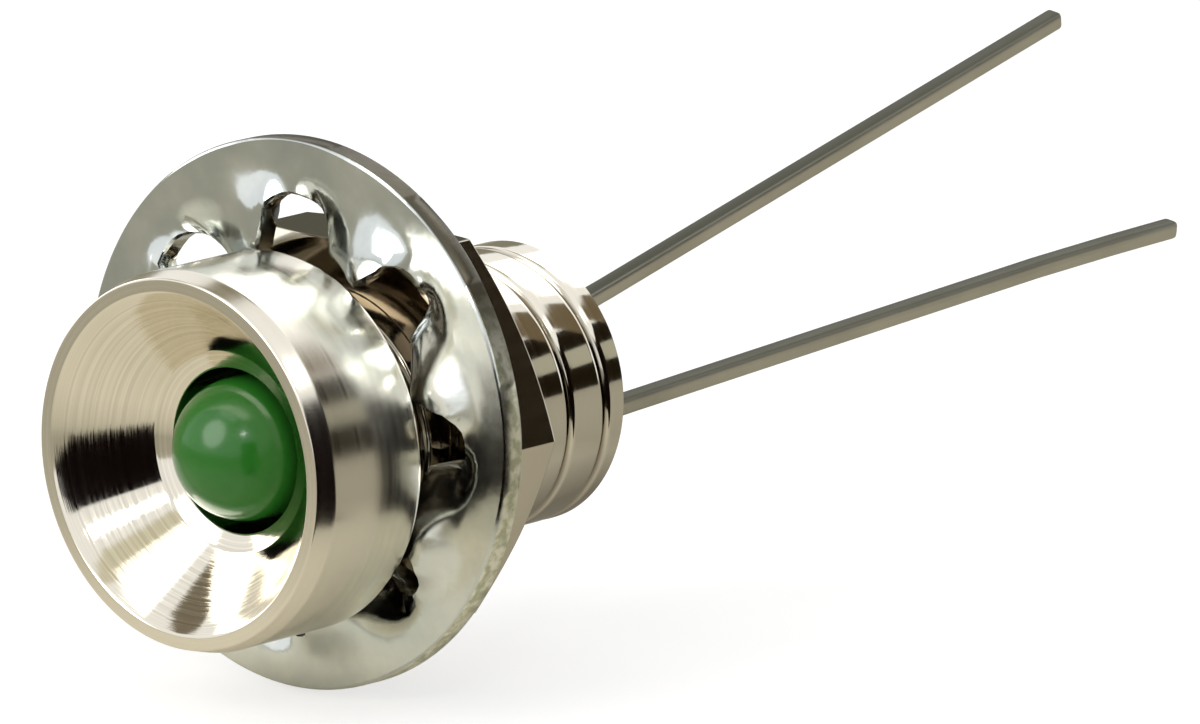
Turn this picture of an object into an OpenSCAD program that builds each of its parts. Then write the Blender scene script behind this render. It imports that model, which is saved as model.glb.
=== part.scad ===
// Panel indicator light: a 3 mm round LED in a turned metal bezel holder.
// The bezel is pushed through a 6 mm panel hole from the front, then the toothed lock washer
// and the hex nut are run up its threaded shank from behind.
// Millimetres. The axis runs along Y: the lamp faces -Y, the leads leave towards +Y, +Z is up.
// The origin is on the axis at the panel seat, which is the rear face of the bezel's head.

/* [Bezel] */
// Outside diameter of the bezel's head
head_d = 7.84; // [7.6:0.02:9]
// Length of the head in front of the panel
head_l = 3.05; // [2.6:0.05:4]
// Diameter of the reflector cone at the front rim
cone_d = 7.06; // [6.4:0.02:7.08]
// Diameter of the bore around the lens
bore_d = 3.42; // [3.2:0.02:3.6]
// Depth of the reflector, from the front rim to the bore
cone_depth = 1.67; // [1.2:0.01:2.2]
// Outside diameter of the threaded shank
shank_d = 5.85; // [5.7:0.05:6]
// Length of the shank behind the panel seat
shank_l = 7.55; // [6.5:0.05:12]

/* [Lamp] */
// Diameter of the lens body
lens_d = 2.94; // [2.8:0.02:3.1]
// How far the top of the dome sits behind the front rim
dome_inset = 0.5; // [0.2:0.05:1]
// Distance between the centres of the two leads
lead_pitch = 2.54; // [2.4:0.02:2.6]
// Side of the square lead wire
lead_w = 0.4; // [0.36:0.01:0.5]
// Turn of the two leads about the axis, from upright
lead_tilt = 8; // [0:1:20]

/* [Lock washer] */
// Outside diameter of the washer
washer_d = 11.36; // [10.8:0.02:11.8]
// Diameter across the tips of the teeth
tooth_tip_d = 6.82; // [6.82:0.02:7]
// Thickness of the sheet
washer_t = 0.56; // [0.4:0.02:0.6]
// Number of teeth
teeth = 8; // [6:1:10]
// Slope of the twisted teeth, as rise over width
tooth_twist = 0.5; // [0:0.05:0.55]
// How far the loose washer is pushed up off the axis
washer_lift = 0.45; // [0:0.01:0.45]
// Tilt of the loose washer, top edge and right edge backwards
washer_tilt = [0.8, 1]; // [0:0.1:1]

/* [Nut] */
// Size of the nut across its flats
nut_af = 7.8; // [7.4:0.1:8]
// Thickness of the nut
nut_t = 2; // [1.6:0.1:2.4]
// Turn of the nut's first corner, from +X towards +Z
nut_turn = 1; // [0:1:59]

/* [Hidden] */
$fn = 96;

// Places along the axis, from the panel seat
rim_y = -head_l;
bore_y = rim_y + cone_depth;
shank_y = shank_l;
lens_r = lens_d / 2;
dome_y = rim_y + dome_inset;
flange_y = dome_y + 4.3;
flange_t = 1.0;
base_y = flange_y + flange_t;
flange_d = 3.8;

// Bezel details
rim_edge = 0.05;       // small round on the rim's outer corner
crown = [0.1, 0.42];   // slight taper behind the rim, across and along
lip_w = 0.34;          // width of the flatter lip around the bore
lip_drop = 0.1;        // depth of that lip
neck_d = 5.5;          // undercut behind the head
neck_l = 0.35;
shank_chamfer = 0.4;
rear_bore_d = 4.04;    // bore behind the lens, for its flange and the bush

// Lead frame inside the lens, in the plane of the leads: u is across, y is along the axis
frame_top = dome_y + 2.25;
cup_d = 0.84;
cup_h = 0.45;

// Bush behind the lens
bush_d = 4.0;
bush_end = 6.9;
lead_hole_d = 0.72;

// Washer places
washer_y = 0.66;       // middle of the sheet
tooth_gap_r = 4.55;    // bottom of the notches between teeth
tooth_half = 0.62;     // half the width of a tooth at its tip
root_half = 1.05;      // and at its root
blend_r = 5;           // where the twist has died out into the flat ring
full_r = 3.95;         // inside this radius the teeth have their full twist
tooth_phase = 24.2;    // middle of the first tooth, from +X towards +Z
nut_y = 1.62;          // front face of the nut
nut_chamfer = 0.3;

// Stands the Z axis of what it is given along +Y
module along() rotate([-90, 0, 0]) children();

// Puts a profile drawn as (axis position, across) in the plane of the leads, one wire thick
module in_lead_plane(t)
    rotate([0, lead_tilt, 0]) rotate([90, 0, 90]) translate([0, 0, -t / 2])
        linear_extrude(height = t) children();

// Points of an arc about c with radii r, from angle a0 to a1 in n steps
function arc(c, r, a0, a1, n) = [for (i = [0:n])
    let (a = a0 + (a1 - a0) * i / n) [c[0] + r[0] * cos(a), c[1] + r[1] * sin(a)]];

// ---------- Bezel: one turned piece, drawn as (radius, axis position) ----------
function bezel_profile() = concat(
    [[bore_d / 2, bore_y], [bore_d / 2 + lip_w, bore_y - lip_drop], [cone_d / 2, rim_y]],
    arc([head_d / 2 - crown[0] - rim_edge, rim_y + rim_edge], [rim_edge, rim_edge], -90, -14, 3),
    [[head_d / 2, rim_y + crown[1]], [head_d / 2, -0.12], [head_d / 2 - 0.12, 0],
     [neck_d / 2, 0], [neck_d / 2, neck_l], [shank_d / 2, neck_l + 0.15],
     [shank_d / 2, shank_y - shank_chamfer], [shank_d / 2 - shank_chamfer, shank_y],
     [rear_bore_d / 2 + 0.15, shank_y], [rear_bore_d / 2, shank_y - 0.15],
     [rear_bore_d / 2, flange_y], [bore_d / 2, flange_y]]);

module bezel()
    color([0.72, 0.68, 0.6]) along() rotate_extrude() polygon(bezel_profile());

// ---------- Lens: a dome on a cylinder, with a flange that has a flat ----------
module lens_body()
    along() {
        difference() {
            union() {
                translate([0, 0, dome_y + lens_r]) sphere(r = lens_r);
                translate([0, 0, dome_y + lens_r]) cylinder(r = lens_r, h = base_y - dome_y - lens_r);
                translate([0, 0, flange_y]) cylinder(d = flange_d, h = flange_t);
            }
            // The flat on the flange marks the cathode
            rotate([0, 0, lead_tilt]) translate([-3, lens_r + 0.08, flange_y - 0.5]) cube([6, 2, 3]);
        }
    }

module led_lens()
    color([0.13, 0.5, 0.16, 0.8]) difference() {
        lens_body();
        cathode_lead();
        anode_lead();
        led_chip();
    }

// ---------- Leads: square wire, cut and bent in one plane ----------
// Bend points as [axis position, across], chosen by hand
upper_path = [[flange_y + 0.1, lead_pitch / 2], [8.1, lead_pitch / 2], [8.4, 1.28], [8.75, 1.34],
              [9.7, 1.58], [23.6, 5.3]];
lower_path = [[flange_y + 0.1, -lead_pitch / 2], [8.1, -lead_pitch / 2], [9.2, -1.215],
              [14.9, -0.915], [19.4, -0.645], [23.9, -0.39], [26.4, -0.3], [28.5, -0.25]];

function unit(v) = v / norm(v);
function normal(p, i) = let (a = p[max(i - 1, 0)], b = p[min(i + 1, len(p) - 1)], d = unit(b - a))
    [-d[1], d[0]];
function strip(p, w) = concat(
    [for (i = [0:len(p) - 1]) p[i] + normal(p, i) * w / 2],
    [for (i = [len(p) - 1:-1:0]) p[i] - normal(p, i) * w / 2]);

// The lower lead carries the broad anvil with the reflector cup for the chip
module cathode_lead()
    color([0.4, 0.4, 0.36]) difference() {
        union() {
            in_lead_plane(lead_w) {
                polygon(strip(lower_path, lead_w));
                polygon([[base_y, -lead_pitch / 2], [base_y, -1],
                         [base_y - 1.1, -0.55], [frame_top + 0.9, 0.12],
                         [frame_top + 0.4, 0.3], [frame_top + 0.1, 0.3],
                         [frame_top + 0.1, -0.3], [frame_top + 0.8, -0.6],
                         [flange_y, -1.1], [flange_y + 0.1, -lead_pitch / 2]]);
            }
            along() translate([0, 0, frame_top]) cylinder(d = cup_d, h = cup_h);
        }
        along() translate([0, 0, frame_top - 0.1])
            cylinder(d1 = 0.72, d2 = 0.34, h = 0.38);
    }

// The upper lead ends in a narrow post
module anode_lead()
    color([0.4, 0.4, 0.36]) in_lead_plane(lead_w) {
        polygon(strip(upper_path, lead_w));
        polygon([[base_y, lead_pitch / 2], [base_y, 1],
                 [base_y - 1.3, 0.75], [frame_top + 0.5, 0.56], [frame_top + 0.05, 0.56],
                 [frame_top + 0.05, 0.86], [frame_top + 0.9, 0.9],
                 [flange_y, 1.1], [flange_y + 0.1, lead_pitch / 2]]);
    }

module led_chip()
    color([0.55, 0.6, 0.3]) along() translate([-0.1, -0.1, frame_top + 0.14])
        cube([0.2, 0.2, 0.14]);

// ---------- Bush: moulded plug that holds the lamp from behind and parts its leads ----------
module led_bush()
    color([0.06, 0.06, 0.06]) difference() {
        along() translate([0, 0, base_y]) cylinder(d = bush_d, h = bush_end - base_y);
        for (side = [-1, 1])
            rotate([0, lead_tilt, 0]) translate([0, 0, side * lead_pitch / 2])
                along() translate([0, 0, base_y - 1])
                    cylinder(d = lead_hole_d, h = bush_end - base_y + 2, $fn = 24);
    }

// ---------- Lock washer: flat ring with twisted internal teeth ----------
pitch_a = 360 / teeth;
tip_r = tooth_tip_d / 2;
arch_r = tooth_gap_r - 0.5;                // where the straight flank meets the arch
half_tip_a = asin(tooth_half / tip_r);
half_flank_a = asin(root_half / arch_r);

function smooth(x) = let (t = max(0, min(1, x))) t * t * (3 - 2 * t);

// Inner outline of half a sector, as [radius, angle from the tooth's middle]
n_tip = 3;
n_flank = 4;
n_arch = 5;
function flank_pt(t) = let (r = tip_r + (arch_r - tip_r) * t,
                            half = tooth_half + (root_half - tooth_half) * t) [r, asin(half / r)];
function arch_pt(t) = let (a = 90 * t, mid = pitch_a / 2 - half_flank_a)
    [arch_r + (tooth_gap_r - arch_r) * sin(a), pitch_a / 2 - mid * cos(a)];
half_outline = concat(
    [for (i = [0:n_tip]) [tip_r, half_tip_a * i / n_tip]],
    [for (i = [1:n_flank]) flank_pt(i / n_flank)],
    [for (i = [1:n_arch]) arch_pt(i / n_arch)]);
n_half = len(half_outline) - 1;
n_cols = 2 * n_half * teeth;

// Inner outline all round, one sector after the next
function inner_pt(j) = let (k = floor(j / (2 * n_half)), i = j - k * 2 * n_half,
                            h = i <= n_half ? half_outline[i] : half_outline[2 * n_half - i],
                            s = i <= n_half ? h[1] : pitch_a - h[1])
    [h[0], tooth_phase + k * pitch_a + s];
function outer_angle(j) = tooth_phase + pitch_a * j / (2 * n_half);

// How far the sheet is pushed along the axis: each tooth leans across its own width, and its
// forward edge stops just short of the bezel's head
function lean(r, a) = let (m = a - tooth_phase, d = m - pitch_a * round(m / pitch_a),
                           hold = smooth((pitch_a / 2 - abs(d)) / 9),
                           fade = 1 - smooth((r - full_r) / (blend_r - full_r)))
    max(tooth_twist * r * sin(d) * hold * fade, washer_t / 2 + 0.12 - washer_y);

rows = [0, 0.05, 0.2, 0.36, 0.5, 0.64, 0.8, 0.97, 1];
function grid_pt(i, j, side) = let (p = inner_pt(j), f = rows[i], q = outer_angle(j),
                                    rr = washer_d / 2,
                                    x = (1 - f) * p[0] * cos(p[1]) + f * rr * cos(q),
                                    z = (1 - f) * p[0] * sin(p[1]) + f * rr * sin(q),
                                    edge = (i == len(rows) - 1 || i == 0) ? 0.06 : 0)
    [x, side * (washer_t / 2 - edge) + lean(norm([x, z]), atan2(z, x)), z];

module lock_washer() {
    nr = len(rows);
    points = concat(
        [for (i = [0:nr - 1]) for (j = [0:n_cols - 1]) grid_pt(i, j, -1)],
        [for (i = [0:nr - 1]) for (j = [0:n_cols - 1]) grid_pt(i, j, 1)]);
    back = nr * n_cols;
    quads = concat(
        [for (i = [0:nr - 2]) for (j = [0:n_cols - 1]) let (k = (j + 1) % n_cols)
            [i * n_cols + j, i * n_cols + k, (i + 1) * n_cols + k, (i + 1) * n_cols + j]],
        [for (i = [0:nr - 2]) for (j = [0:n_cols - 1]) let (k = (j + 1) % n_cols)
            [back + i * n_cols + j, back + (i + 1) * n_cols + j,
             back + (i + 1) * n_cols + k, back + i * n_cols + k]],
        [for (j = [0:n_cols - 1]) let (k = (j + 1) % n_cols) [j, back + j, back + k, k]],
        [for (j = [0:n_cols - 1]) let (k = (j + 1) % n_cols, o = (nr - 1) * n_cols)
            [o + j, o + k, back + o + k, back + o + j]]);
    tris = [for (q = quads) each [[q[0], q[1], q[2]], [q[0], q[2], q[3]]]];
    color([0.62, 0.66, 0.68]) translate([0, washer_y, washer_lift])
        rotate([-washer_tilt[0], 0, washer_tilt[1]])
            polyhedron(points = points, faces = tris, convexity = 6);
}

// ---------- Nut: a hexagon with its corners turned off on both faces ----------
module hex_nut()
    color([0.7, 0.66, 0.58]) rotate([0, -nut_turn, 0]) along() translate([0, 0, nut_y])
        difference() {
            intersection() {
                cylinder(r = nut_af / 2 / cos(30), h = nut_t, $fn = 6);
                rotate_extrude() polygon([
                    [0, 0], [nut_af / 2, 0], [nut_af / 2 / cos(30), nut_chamfer],
                    [nut_af / 2 / cos(30), nut_t - nut_chamfer], [nut_af / 2, nut_t], [0, nut_t]]);
            }
            translate([0, 0, -1]) cylinder(d = shank_d, h = nut_t + 2);
        }

bezel();
led_lens();
cathode_lead();
anode_lead();
led_chip();
led_bush();
lock_washer();
hex_nut();
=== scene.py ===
import bpy
import bmesh
from math import radians, pi, cos, sin
from mathutils import Matrix, Vector


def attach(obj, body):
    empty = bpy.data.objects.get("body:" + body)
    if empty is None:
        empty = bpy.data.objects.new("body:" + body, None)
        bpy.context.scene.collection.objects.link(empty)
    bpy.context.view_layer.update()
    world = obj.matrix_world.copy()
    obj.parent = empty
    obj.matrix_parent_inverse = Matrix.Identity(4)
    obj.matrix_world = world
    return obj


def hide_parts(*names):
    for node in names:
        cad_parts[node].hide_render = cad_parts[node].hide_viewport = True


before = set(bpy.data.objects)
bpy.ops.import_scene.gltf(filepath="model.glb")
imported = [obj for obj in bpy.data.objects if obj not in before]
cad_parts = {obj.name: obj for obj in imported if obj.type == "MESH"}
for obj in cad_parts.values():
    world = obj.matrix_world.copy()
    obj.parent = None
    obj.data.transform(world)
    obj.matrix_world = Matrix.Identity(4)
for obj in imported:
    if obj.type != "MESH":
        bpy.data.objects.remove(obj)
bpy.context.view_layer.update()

mm = 0.001
scene = bpy.context.scene
scene.view_settings.view_transform = "Standard"

side = Vector((0.7478, 0.6639, 0.0))
lift = Vector((-0.1471, 0.1657, 0.9751))
back = side.cross(lift)
camera_place = Vector((195.417, -210.359, 66.838)) * mm
camera_data = bpy.data.cameras.new("camera")
camera_data.lens = 435.97
camera_data.sensor_width = 36
camera_data.clip_start = 0.01
camera_data.clip_end = 20
camera = bpy.data.objects.new("camera", camera_data)
scene.collection.objects.link(camera)
turn = Matrix((side, lift, back)).transposed().to_4x4()
camera.matrix_world = Matrix.Translation(camera_place) @ turn
scene.camera = camera


def add_node(material, kind, inputs=(), **settings):
    """Adds a node; each of its inputs is a value, or another node's output to link."""
    node = material.node_tree.nodes.new(kind)
    for name, value in settings.items():
        setattr(node, name, value)
    for slot, value in dict(inputs).items():
        if isinstance(value, bpy.types.NodeSocket):
            material.node_tree.links.new(value, node.inputs[slot])
        else:
            node.inputs[slot].default_value = value
    return node


def empty_material(name):
    material = bpy.data.materials.new(name)
    material.use_nodes = True
    material.node_tree.nodes.clear()
    return material


def math_node(material, operation, a, b=0.0, c=0.0):
    return add_node(material, "ShaderNodeMath", {0: a, 1: b, 2: c}, operation=operation).outputs[0]


def remap(material, value, start, stop, low=0.0, high=1.0):
    """Carries a value from one range to another, held at both ends."""
    return add_node(material, "ShaderNodeMapRange",
                    {"Value": value, "From Min": start, "From Max": stop,
                     "To Min": low, "To Max": high}).outputs[0]


def blend(material, amount, first, second):
    """Goes from one colour to the other; each is (r, g, b) or a node's output."""
    first, second = [colour if isinstance(colour, bpy.types.NodeSocket) else (*colour, 1)
                     for colour in (first, second)]
    return add_node(material, "ShaderNodeMix", {0: amount, 6: first, 7: second},
                    data_type="RGBA").outputs[2]


def object_place(material):
    return add_node(material, "ShaderNodeTexCoord").outputs["Object"]


# White surround: full white to the camera, to reflections and through glass, softer as light
surround_light = 0.55
world = bpy.data.worlds.new("surround")
scene.world = world
world.use_nodes = True
world.node_tree.nodes.clear()
rays = add_node(world, "ShaderNodeLightPath")
seen = math_node(world, "MAXIMUM", rays.outputs["Is Camera Ray"], rays.outputs["Is Glossy Ray"])
seen = math_node(world, "MAXIMUM", seen, rays.outputs["Is Transmission Ray"])
level = math_node(world, "MULTIPLY_ADD", seen, 1 - surround_light, surround_light)
glow = add_node(world, "ShaderNodeBackground", {"Color": (1, 1, 1, 1), "Strength": level})
add_node(world, "ShaderNodeOutputWorld", {"Surface": glow.outputs[0]})

floor_z, floor_half = -5.32 * mm, 1.5
bm = bmesh.new()
bmesh.ops.create_grid(bm, x_segments=1, y_segments=1, size=floor_half)
bmesh.ops.translate(bm, vec=(0, 0, floor_z), verts=bm.verts)
floor_mesh = bpy.data.meshes.new("floor")
bm.to_mesh(floor_mesh)
bm.free()
floor = bpy.data.objects.new("floor", floor_mesh)
scene.collection.objects.link(floor)
paper = empty_material("paper")


def distance_on_floor(x, y):
    """How far a spot of the floor is from a point on it, given in mm."""
    reach = add_node(paper, "ShaderNodeVectorMath",
                     {0: object_place(paper), 1: (x * mm, y * mm, floor_z)}, operation="DISTANCE")
    return reach.outputs["Value"]


# The camera and see-through rays get a white floor. Reflections and light from it are buff, with
# painted light that is palest beside the head and fades with distance, and a painted shadow under
# the thread, where little light gets in
rays = add_node(paper, "ShaderNodeLightPath")
seen = math_node(paper, "MAXIMUM", rays.outputs["Is Camera Ray"],
                 rays.outputs["Is Transmission Ray"])
level = math_node(paper, "MULTIPLY_ADD", rays.outputs["Is Glossy Ray"], 0.06,
                  math_node(paper, "MULTIPLY", seen, 0.66))
# Painted light: the buff is palest near the head and darker farther out
painted_light_falloff = remap(paper, distance_on_floor(-2, -4), 6 * mm, 20 * mm)
buff = blend(paper, painted_light_falloff, (0.78, 0.73, 0.6), (0.37, 0.345, 0.27))
# Painted shadow under the thread
painted_shadow_under_thread = remap(paper, distance_on_floor(-0.5, 10.5), 2 * mm, 6 * mm, 0.75, 0.0)
buff = blend(paper, painted_shadow_under_thread, buff, (0.09, 0.07, 0.035))
tint = blend(paper, seen, buff, (0.5, 0.5, 0.5))
dull = add_node(paper, "ShaderNodeBsdfDiffuse", {"Color": tint})
glow = add_node(paper, "ShaderNodeEmission", {"Color": (1, 1, 1, 1), "Strength": level})
both = add_node(paper, "ShaderNodeAddShader", {0: dull.outputs[0], 1: glow.outputs[0]})
add_node(paper, "ShaderNodeOutputMaterial", {"Surface": both.outputs[0]})
floor.data.materials.append(paper)


def toward(azimuth, elevation, distance):
    """A point that far away; azimuth 0 is in front of the lamp's face, 90 to its +X side."""
    a, e = radians(azimuth), radians(elevation)
    return Vector((sin(a) * cos(e), -cos(a) * cos(e), sin(e))) * distance


def lamp(name, azimuth, elevation, distance, size, radiance, colour, shape="RECTANGLE"):
    """A flat lamp that faces the part; a mirror shows radiance 1 as white."""
    data = bpy.data.lights.new(name, "AREA")
    data.shape = shape
    data.size, data.size_y = size
    data.energy = radiance * pi * size[0] * size[1]
    data.color = colour
    lamp_object = bpy.data.objects.new(name, data)
    place = toward(azimuth, elevation, distance)
    aim = (Vector((0, 0, 0)) - place).to_track_quat("-Z", "Y").to_matrix().to_4x4()
    lamp_object.matrix_world = Matrix.Translation(place) @ aim
    scene.collection.objects.link(lamp_object)


def reflected_only(name, quads, shade):
    """A flat or folded card of one shade that nothing but a polished surface sees."""
    bm = bmesh.new()
    for quad in quads:
        bm.faces.new([bm.verts.new(corner) for corner in quad])
    mesh = bpy.data.meshes.new(name)
    bm.to_mesh(mesh)
    bm.free()
    card = bpy.data.objects.new(name, mesh)
    scene.collection.objects.link(card)
    felt = empty_material(name)
    dim = add_node(felt, "ShaderNodeEmission", {"Color": (*shade, 1), "Strength": 1.0})
    add_node(felt, "ShaderNodeOutputMaterial", {"Surface": dim.outputs[0]})
    mesh.materials.append(felt)
    card.visible_camera = False
    card.visible_diffuse = False
    card.visible_shadow = False
    card.visible_transmission = False


def screen(name, corners, distance, shade):
    """A standing card, folded at its corners: (azimuth, lower edge, upper edge)."""
    quads = []
    for (a, low_a, high_a), (b, low_b, high_b) in zip(corners, corners[1:]):
        quads.append([toward(a, low_a, distance), toward(b, low_b, distance),
                      toward(b, high_b, distance), toward(a, high_a, distance)])
    reflected_only(name, quads, shade)


def floor_card(name, azimuths, near, far, shade):
    """A card lying on the floor, cut to a wedge of the room."""
    up = Vector((0, 0, floor_z + 0.1 * mm))
    quads = [[toward(a, 0, near) + up, toward(b, 0, near) + up, toward(b, 0, far) + up,
              toward(a, 0, far) + up] for a, b in zip(azimuths, azimuths[1:])]
    reflected_only(name, quads, shade)


# Lamps stand at one distance and walls at another. The walls reach just below the floor's
# horizon, so that no pale gap shows under them
stand, room, skirt = 0.6, 0.9, -0.4
warm, warmer, black = (1, 0.99, 0.96), (1, 0.98, 0.93), (0.004, 0.002, 0.002)
lamp("key_lamp", 41.5, 36, 0.5, (0.07, 0.045), 16.0, (1, 0.98, 0.94))
lamp("soft_box", -15, 29, stand, (0.42, 0.44), 2.6, warm, "ELLIPSE")
lamp("top_box", -10, 66, stand, (0.34, 0.2), 1.05, warm)
lamp("left_box", -100, 16, stand, (0.35, 0.3), 1.3, warmer)
lamp("rear_box", -165, 37, stand, (0.34, 0.17), 1.1, warmer)
lamp("window", 141, 17, stand, (0.1, 0.1), 0.42, (1, 0.98, 0.8))
lamp("side_lamp", 121, 47, stand, (0.1, 0.1), 4.0, (1, 0.98, 0.95))
screen("dark_room", [(38, skirt, 22), (62, skirt, 24), (100, skirt, 32), (118, skirt, 33)],
       room, black)
screen("dark_wall", [(118, skirt, 33), (134, skirt, 32), (149, skirt, 32)],
       room, (0.012, 0.008, 0.004))
screen("brown_wall", [(148, 12, 37), (157, 20, 40), (166, 30, 42)], room, (0.16, 0.12, 0.07))
screen("rear_wall", [(-118, skirt, 13), (-138, skirt, 18), (-150, skirt, 20), (-163, skirt, 20)],
       room, (0.24, 0.23, 0.17))
screen("rear_ceiling", [(-120, 47, 62), (-142, 47, 62), (-165, 47, 62)], room, (0.24, 0.21, 0.14))
screen("front_wall", [(6, 46, 56), (20, 45, 56), (34, 45, 56)], room, (0.7, 0.66, 0.52))
floor_card("dark_floor", [38, 52, 66, 80, 100, 118], 11 * mm, room, black)
screen("ceiling", [(-92, 37, 50), (-76, 38, 54), (-60, 42, 56)], 0.45, (0.21, 0.18, 0.13))

# ---------------------------------------------------------------- bezel
# One piece turned from brass bar and nickel plated: head, cone reflector, bore and threaded shank.
# The cone keeps the fine rings of the turning tool; the thread is cut up to a neck.
head_r, cone_r, bore_r = 3.92 * mm, 3.53 * mm, 1.71 * mm
rim_y, bore_y, seat_y, shank_y = -3.05 * mm, -1.38 * mm, 1.75 * mm, 7.55 * mm
crest_r, root_r, neck_r, rear_r = 2.925 * mm, 2.77 * mm, 2.75 * mm, 2.02 * mm
heel_round, rim_round, lip_round, chamfer = 0.14 * mm, 0.05 * mm, 0.02 * mm, 0.36 * mm
neck_y, start_y, stop_y = 0.42 * mm, 0.5 * mm, shank_y - chamfer
thread_pitch, groove, turns, run_in = 1.1 * mm, 0.1 * mm, 9, 1.4
steps_round = 128


def chain(bm, points):
    """Joins (radius, y) points into one open edge chain in the x-y plane."""
    verts = [bm.verts.new((r, y, 0)) for r, y in points]
    for a, b in zip(verts, verts[1:]):
        bm.edges.new((a, b))


def spin_full(bm, steps):
    bmesh.ops.spin(bm, geom=bm.verts[:] + bm.edges[:], cent=(0, 0, 0), axis=(0, 1, 0),
                   angle=2 * pi, steps=steps, use_merge=True)
    bmesh.ops.remove_doubles(bm, verts=bm.verts, dist=1e-7)
    bmesh.ops.recalc_face_normals(bm, faces=bm.faces)


def arc(centre_r, centre_y, radius, start, stop, steps):
    """Points of a round edge, from one angle to another in degrees."""
    angles = [radians(start + (stop - start) * i / steps) for i in range(steps + 1)]
    return [(centre_r + radius * cos(a), centre_y + radius * sin(a)) for a in angles]


def make_piece(bm, name, material, sharp, node):
    """Turns a bmesh into a piece in place of a CAD node, smooth below the sharp angle."""
    for face in bm.faces:
        face.smooth = True
    for edge in bm.edges:
        edge.smooth = not (len(edge.link_faces) == 2 and edge.calc_face_angle(0) > radians(sharp))
    mesh = bpy.data.meshes.new(name)
    bm.to_mesh(mesh)
    bm.free()
    piece = bpy.data.objects.new(name, mesh)
    scene.collection.objects.link(piece)
    mesh.materials.append(material)
    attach(piece, "root")
    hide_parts(node)


# Half section of the head and the bore; points close beside a crease keep its shading tight
bm = bmesh.new()
profile = [(neck_r, neck_y), (neck_r, 0.0), (head_r - heel_round, 0.0)]
profile += arc(head_r - heel_round, -heel_round, heel_round, 90, 0, 5)[1:]
profile += [(head_r, -0.16 * mm), (head_r, -1.2 * mm), (head_r, rim_y + 0.47 * mm),
            (head_r, rim_y + 0.43 * mm), (head_r - 0.009 * mm, rim_y + 0.39 * mm),
            (head_r - 0.094 * mm, rim_y + 0.07 * mm)]
profile += arc(head_r - 0.15 * mm, rim_y + rim_round, rim_round, -14, -90, 5)
profile += [(head_r - 0.17 * mm, rim_y), (cone_r + 2 * lip_round, rim_y)]
profile += arc(cone_r + lip_round, rim_y + lip_round, lip_round, -90, -135, 2)
lip_r, lip_y = bore_r + 0.34 * mm, bore_y - 0.1 * mm
for t in (0.03, 0.2, 0.4, 0.6, 0.8, 0.97):
    profile += [(cone_r + (lip_r - cone_r) * t, rim_y + (lip_y - rim_y) * t)]
profile += [(lip_r, lip_y), (bore_r + 0.04 * mm, bore_y - 0.012 * mm), (bore_r, bore_y + 0.03 * mm)]
profile += [(bore_r, seat_y), (rear_r, seat_y), (rear_r, shank_y - 0.15 * mm)]
profile += [(rear_r + 0.15 * mm, shank_y), (crest_r - chamfer, shank_y)]
chain(bm, profile)
spin_full(bm, steps_round)

# The thread: one pitch of rounded crest and narrow groove, spun up the shank in a screw
half_groove = [(root_r, 0.0), (root_r + 0.01 * mm, 0.02 * mm),
               (crest_r - 0.04 * mm, groove - 0.02 * mm),
               (crest_r - 0.012 * mm, groove + 0.01 * mm),
               (crest_r - 0.002 * mm, groove + 0.05 * mm), (crest_r, groove + 0.1 * mm)]
one_turn = half_groove + [(crest_r, 0.5 * thread_pitch)]
one_turn += [(r, thread_pitch - y) for r, y in reversed(half_groove)]
thread = bmesh.new()
chain(thread, [(r, start_y - run_in * thread_pitch + y) for r, y in one_turn])
bmesh.ops.spin(thread, geom=thread.verts[:] + thread.edges[:], cent=(0, 0, 0), axis=(0, 1, 0),
               dvec=(0, thread_pitch / steps_round, 0), angle=2 * pi * turns,
               steps=steps_round * turns, use_merge=False)
bmesh.ops.remove_doubles(thread, verts=thread.verts, dist=2e-6)
for level_y, normal in ((start_y, (0, -1, 0)), (stop_y, (0, 1, 0))):
    bmesh.ops.bisect_plane(thread, geom=thread.verts[:] + thread.edges[:] + thread.faces[:],
                           plane_co=(0, level_y, 0), plane_no=normal, clear_outer=True, dist=1e-8)
bmesh.ops.remove_doubles(thread, verts=thread.verts, dist=2e-6)
thread_mesh = bpy.data.meshes.new("thread")
thread.to_mesh(thread_mesh)
thread.free()
bm.from_mesh(thread_mesh)
bpy.data.meshes.remove(thread_mesh)
open_edges = [e for e in bm.edges if e.is_boundary]
for level_y in ((neck_y + start_y) / 2, (stop_y + shank_y) / 2):
    near = [e for e in open_edges if abs(e.verts[0].co.y - level_y) < 0.3 * mm]
    bmesh.ops.bridge_loops(bm, edges=near)
bmesh.ops.recalc_face_normals(bm, faces=bm.faces)


def noise(material, place, scale, detail=2.0, roughness=0.5):
    cloudy = add_node(material, "ShaderNodeTexNoise",
                      {"Vector": place, "Scale": scale, "Detail": detail, "Roughness": roughness})
    return cloudy.outputs[0]


def bump(material, height, depth):
    return add_node(material, "ShaderNodeBump",
                    {"Strength": 1.0, "Distance": depth, "Height": height}).outputs[0]


def surface(material, inputs):
    """Ends a material in one principled shader with those inputs."""
    shader = add_node(material, "ShaderNodeBsdfPrincipled", inputs)
    add_node(material, "ShaderNodeOutputMaterial", {"Surface": shader.outputs[0]})


def radius_about_axis(material, place, centre_z=0.0):
    """Distance from the lamp's axis, or from a line above it, and the place along the axis."""
    parts = add_node(material, "ShaderNodeSeparateXYZ", {0: place})
    up = math_node(material, "SUBTRACT", parts.outputs[2], centre_z)
    square = math_node(material, "MULTIPLY_ADD", up, up,
                       math_node(material, "MULTIPLY", parts.outputs[0], parts.outputs[0]))
    return math_node(material, "SQRT", square), parts.outputs[1]


# A dark brown, used for painted shade between the parts and to darken the thread's grooves and end
dark_brown = (0.12, 0.085, 0.045)
nickel = empty_material("turned_nickel")
place = object_place(nickel)
radius, along = radius_about_axis(nickel, place)
path = math_node(nickel, "MULTIPLY_ADD", along, -0.6, radius)
rings = {"W": path, "Scale": 9000.0, "Detail": 4.0, "Roughness": 0.68}
ring = add_node(nickel, "ShaderNodeTexNoise", rings, noise_dimensions="1D").outputs[0]
cloud = noise(nickel, place, 700.0, 3.0)
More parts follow.
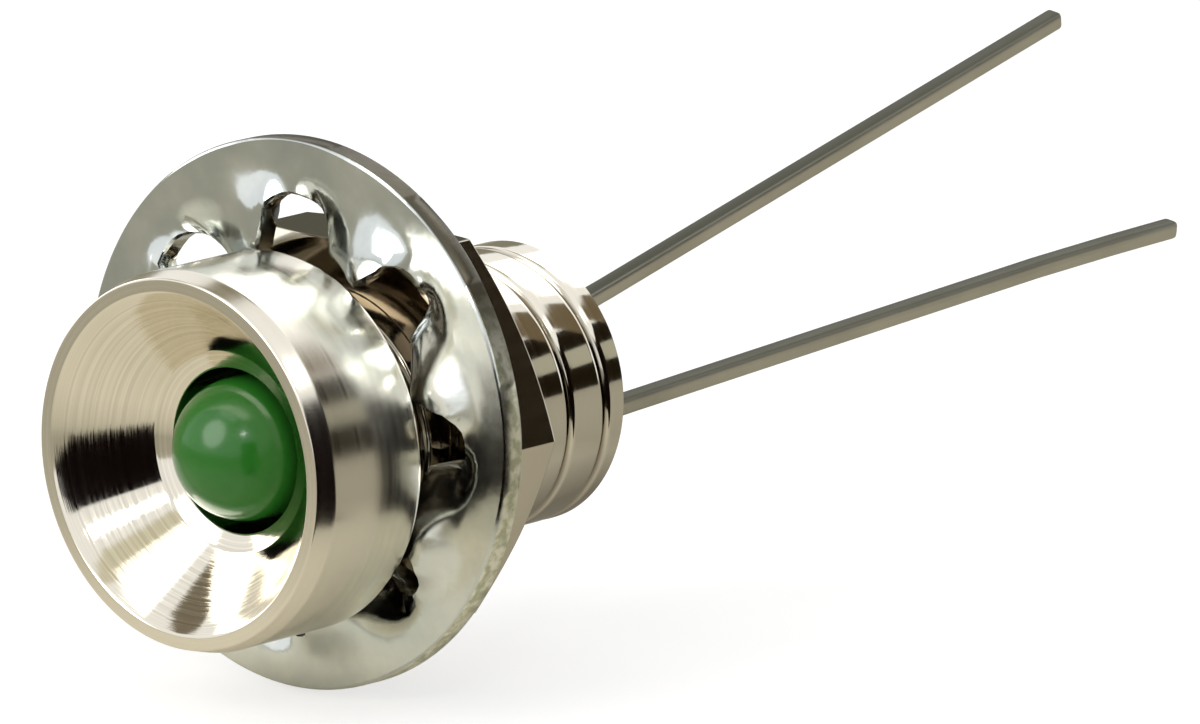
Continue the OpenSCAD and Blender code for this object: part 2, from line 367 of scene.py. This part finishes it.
# Along one ring the tool's mark comes and goes
swell = remap(nickel, noise(nickel, place, 1600.0), 0.35, 0.65, 0.55, 1.25)
# The head's outside, its rim and the thread were polished after turning; the cone was not
inside = remap(nickel, radius, 3.5 * mm, 3.56 * mm, 1.0, 0.22)
ahead = remap(nickel, along, -1.2 * mm, -1.1 * mm, 1.0, 0.22)
in_cone = math_node(nickel, "MINIMUM", inside, ahead)
height = math_node(nickel, "MULTIPLY", ring, math_node(nickel, "MULTIPLY", swell, in_cone))
worn = math_node(nickel, "MULTIPLY_ADD", cloud, 0.04, remap(nickel, ring, 0.3, 0.7, 0.03, 0.085))
worn = math_node(nickel, "MULTIPLY_ADD", math_node(nickel, "SUBTRACT", 1.0, inside), 0.13, worn)
dark_ring = math_node(nickel, "SUBTRACT", 1.0, remap(nickel, ring, 0.36, 0.64, 0.5, 1.0))
tint = blend(nickel, math_node(nickel, "MULTIPLY", dark_ring, in_cone),
             (0.86, 0.815, 0.71), (0.6, 0.56, 0.47))
# Painted shade darkens the neck behind the head, between the head and the nut; the thread's grooves
# and its end are painted darker too
behind_head = remap(nickel, along, -0.06 * mm, 0.02 * mm)
neck = remap(nickel, along, 0.9 * mm, 1.7 * mm, 0.85, 0.0)
root = remap(nickel, radius, root_r + 0.04 * mm, root_r + 0.13 * mm, 0.85, 0.0)
on_thread = remap(nickel, along, stop_y, stop_y + 0.05 * mm, 1.0, 0.0)
thread_end = remap(nickel, along, stop_y, stop_y + 0.05 * mm, 0.0, 0.6)
shank_darkening = math_node(nickel, "MAXIMUM", neck,
                  math_node(nickel, "MULTIPLY_ADD", root, on_thread, thread_end))
tint = blend(nickel, math_node(nickel, "MULTIPLY", behind_head, shank_darkening), tint, dark_brown)
around = add_node(nickel, "ShaderNodeTangent", direction_type="RADIAL", axis="Y")
surface(nickel, {"Base Color": tint, "Metallic": 1.0, "Roughness": worn, "Anisotropic": 0.35,
                 "Normal": bump(nickel, height, 1.5e-6), "Tangent": around.outputs[0]})
make_piece(bm, "turned_bezel", nickel, 32, "bezel")

# ---------------------------------------------------------------- lock washer
# Stamped from sheet steel and zinc plated: a flat ring whose inner teeth are twisted, so that
# each bites with both edges. It hangs loose on the shank, between the head and the nut.


def merged_copy(node):
    """A CAD node's mesh with its doubled corners joined."""
    bm = bmesh.new()
    bm.from_mesh(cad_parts[node].data)
    bmesh.ops.remove_doubles(bm, verts=bm.verts, dist=1e-6)
    return bm


washer_lift = 0.45 * mm
zinc = empty_material("bright_zinc")
place = object_place(zinc)
cloud = noise(zinc, place, 420.0, 5.0, 0.6)
speck = noise(zinc, place, 4500.0, 3.0)
tint = blend(zinc, remap(zinc, cloud, 0.35, 0.65), (0.58, 0.63, 0.63), (0.78, 0.81, 0.78))
haze = remap(zinc, cloud, 0.3, 0.7, 0.05, 0.16)
grit = math_node(zinc, "MULTIPLY_ADD", speck, 0.1, haze)
# The sheet is not quite flat, and its sheared outer edge is torn and duller than the faces
wave = noise(zinc, place, 330.0, 1.5)
radius, along = radius_about_axis(zinc, place, washer_lift)
sheared = remap(zinc, radius, 5.655 * mm, 5.675 * mm)
grit = math_node(zinc, "MULTIPLY_ADD", sheared, 0.16, grit)
tear = math_node(zinc, "MULTIPLY", speck, math_node(zinc, "MULTIPLY_ADD", sheared, 4.0, 1.0))
rise = math_node(zinc, "MULTIPLY_ADD", wave, 16.0, tear)
# Painted shade: the sheared edge is painted dark brown along the top of the rim
heights = add_node(zinc, "ShaderNodeSeparateXYZ", {0: place})
painted_top_shade = remap(zinc, heights.outputs[2], 2.0 * mm, 3.6 * mm)
rim_tint = blend(zinc, remap(zinc, speck, 0.4, 0.62), (0.6, 0.62, 0.46), (1, 1, 0.86))
rim_tint = blend(zinc, painted_top_shade, rim_tint, (0.1, 0.09, 0.065))
surface(zinc, {"Base Color": blend(zinc, sheared, tint, rim_tint), "Metallic": 1.0,
               "Roughness": grit, "Normal": bump(zinc, rise, 1.5e-6)})
make_piece(merged_copy("lock_washer"), "toothed_washer", zinc, 40, "lock_washer")

# ---------------------------------------------------------------- nut
# Cut from hexagon brass bar and nickel plated, with its corners turned off on both faces.
# The bar's drawing marks run along it. Painted shade darkens its front face, which faces the
# washer, and whatever faces up is painted near black


def stretched_noise(material, place, squeeze, scale, detail):
    """Noise drawn out along the axis, as drawn and rolled metal is."""
    longer = add_node(material, "ShaderNodeMapping", {"Vector": place, "Scale": (1, squeeze, 1)})
    return noise(material, longer.outputs[0], scale, detail)


def facing_up(material, start, stop):
    normal = add_node(material, "ShaderNodeNewGeometry").outputs["Normal"]
    parts = add_node(material, "ShaderNodeSeparateXYZ", {0: normal})
    return remap(material, parts.outputs[2], start, stop)


def softened(node, width, steps, from_angle):
    """A merged copy of a CAD node with its sharp edges rounded over."""
    bm = merged_copy(node)
    bmesh.ops.dissolve_limit(bm, angle_limit=radians(0.5), verts=bm.verts, edges=bm.edges)
    sharp = [e for e in bm.edges if e.calc_face_angle(0) > radians(from_angle)]
    bmesh.ops.bevel(bm, geom=sharp, offset=width, offset_type="OFFSET", segments=steps,
                    profile=0.5, affect="EDGES", clamp_overlap=False)
    bmesh.ops.remove_doubles(bm, verts=bm.verts, dist=1e-7)
    bmesh.ops.dissolve_degenerate(bm, dist=1e-7, edges=bm.edges)
    return bm


nut_nickel = empty_material("bar_nickel")
place = object_place(nut_nickel)
drawn = stretched_noise(nut_nickel, place, 0.12, 5000.0, 3.0)
radius, along = radius_about_axis(nut_nickel, place)
# Painted shade on the front face, next to the washer
front = remap(nut_nickel, along, 1.63 * mm, 1.7 * mm, 0.88, 0.0)
tint = blend(nut_nickel, front, (0.76, 0.7, 0.58), dark_brown)
# Painted shade on whatever faces up
tint = blend(nut_nickel, facing_up(nut_nickel, 0.8, 0.97), tint, (0.05, 0.037, 0.02))
surface(nut_nickel, {"Base Color": tint, "Metallic": 1.0,
                     "Roughness": remap(nut_nickel, drawn, 0.0, 1.0, 0.07, 0.13),
                     "Normal": bump(nut_nickel, drawn, 0.8e-6)})
nut_bm = softened("hex_nut", width=0.025 * mm, steps=2, from_angle=24)
make_piece(nut_bm, "nut", nut_nickel, 8, "hex_nut")

# ---------------------------------------------------------------- lens
# Cast epoxy, tinted green and filled so that it glows evenly: dome, body and base flange.
# The flange is a hair clear of the bezel's seat in front and of the plug behind.
lens_r, flange_r, hair = 1.47 * mm, 1.9 * mm, 0.001 * mm
dome_y, flange_y, base_y = -2.55 * mm, 1.75 * mm, 2.75 * mm
bm = bmesh.new()
profile = arc(0, dome_y + lens_r, lens_r, -90, 0, 24)
profile += [(lens_r, flange_y - 0.05 * mm), (lens_r + 0.05 * mm, flange_y + hair)]
profile += [(flange_r - 0.04 * mm, flange_y + hair), (flange_r, flange_y + 0.05 * mm),
            (flange_r, base_y - 0.05 * mm), (flange_r - 0.04 * mm, base_y - hair),
            (0, base_y - hair)]
chain(bm, profile)
spin_full(bm, 96)
epoxy = empty_material("green_epoxy")
filler = noise(epoxy, object_place(epoxy), 900.0)
surface(epoxy, {"Base Color": blend(epoxy, filler, (0.024, 0.17, 0.018), (0.03, 0.2, 0.024)),
                "Roughness": 0.2, "IOR": 1.53, "Specular IOR Level": 0.42,
                "Coat Weight": 0.12, "Coat Roughness": 0.03, "Subsurface Weight": 0.6,
                "Subsurface Radius": (0.3, 1.0, 0.3), "Subsurface Scale": 0.0004})
make_piece(bm, "green_lens", epoxy, 40, "led_lens")

# ---------------------------------------------------------------- leads
# Stamped from one steel strip and tinned; each is a square wire, cut and bent by hand.
# The tin is dull, and the upper side is painted near black as painted shade, more so the more it
# faces up.
tin = empty_material("dull_tin")
place = object_place(tin)
grain = stretched_noise(tin, place, 0.1, 3500.0, 4.0)
blotch = noise(tin, place, 500.0, 3.0)
tint = blend(tin, blotch, (0.58, 0.565, 0.48), (0.86, 0.83, 0.72))
# Painted shade: darker the more the wire faces up
tint = blend(tin, facing_up(tin, -0.1, 0.75), tint, (0.1, 0.1, 0.075))
surface(tin, {"Base Color": tint, "Metallic": 1.0,
              "Roughness": remap(tin, grain, 0.0, 1.0, 0.34, 0.55),
              "Normal": bump(tin, grain, 2e-6)})
for node, name in (("cathode_lead", "cathode_wire"), ("anode_lead", "anode_wire")):
    lead_bm = softened(node, width=0.11 * mm, steps=4, from_angle=60)
    make_piece(lead_bm, name, tin, 40, node)

# ---------------------------------------------------------------- chip
# The die that gives the light: a cube of crystal, sawn from a wafer and glued into the
# cathode's cup. The CAD shape stays in view and gets its material here.


def dress(node, material):
    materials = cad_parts[node].data.materials
    materials.clear()
    materials.append(material)


crystal = empty_material("crystal_die")
facets = noise(crystal, object_place(crystal), 9000.0)
surface(crystal, {"Base Color": blend(crystal, facets, (0.4, 0.45, 0.2), (0.6, 0.65, 0.32)),
                  "Roughness": 0.3})
dress("led_chip", crystal)

# ---------------------------------------------------------------- bush
# A black nylon plug, moulded with two holes, that holds the lamp in from behind.
# The CAD shape stays in view and gets its material here.
nylon = empty_material("black_nylon")
texture = noise(nylon, object_place(nylon), 6000.0, 3.0)
surface(nylon, {"Base Color": blend(nylon, texture, (0.018, 0.018, 0.019), (0.03, 0.03, 0.032)),
                "Roughness": 0.5, "Normal": bump(nylon, texture, 3e-6)})
dress("led_bush", nylon)
